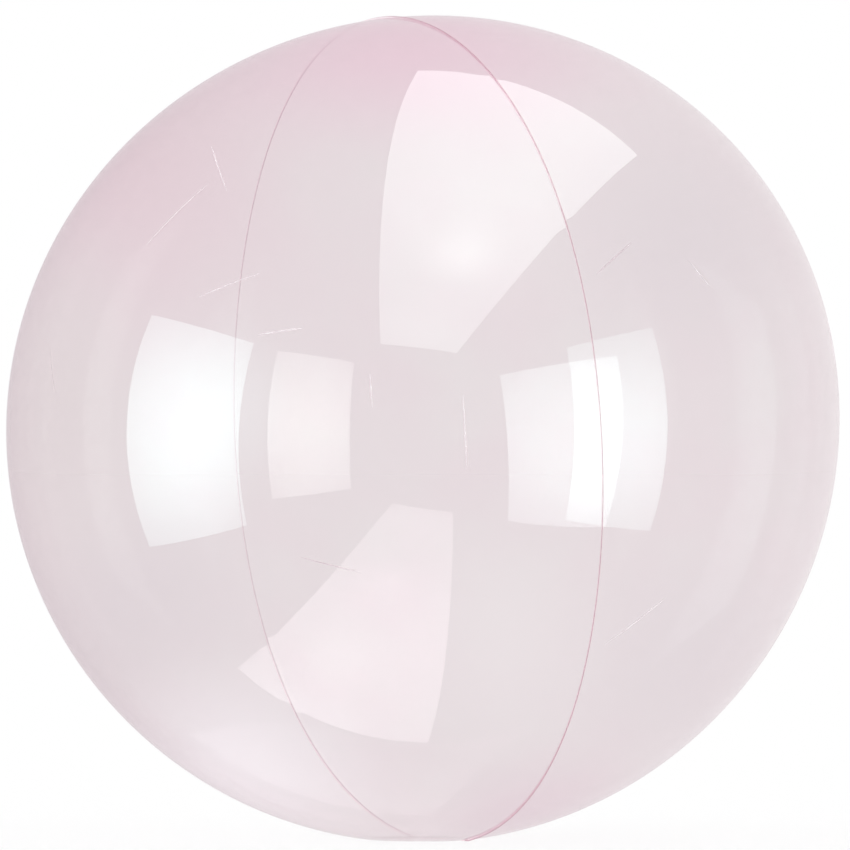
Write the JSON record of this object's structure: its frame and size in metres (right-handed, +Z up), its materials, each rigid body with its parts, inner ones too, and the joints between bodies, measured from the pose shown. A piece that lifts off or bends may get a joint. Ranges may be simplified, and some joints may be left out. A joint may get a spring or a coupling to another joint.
{
  "type": "bubble balloon",
  "caption": "Clear round bubble balloon: panels of clear stretch film blown into a ball, with a narrow pink-tinted weld running right round it.",
  "frame": {"origin": "on the small resting flat, straight below the middle of the ball", "axes": "+Z up through the ball; the weld runs over the top from front (-Y) to back, so +X points to the right-hand panel"},
  "size_m": [0.4583, 0.4596, 0.4536],
  "materials": {
    "clear_film": "clear stretch film with a faint pink tint, smooth and glossy",
    "welded_film": "two films melted together, a deeper pink and less clear"
  },
  "bodies": {
    "root": {"left_film_panel": "clear_film", "right_film_panel": "clear_film", "weld_seam": "welded_film"}
  },
  "joints": []
}
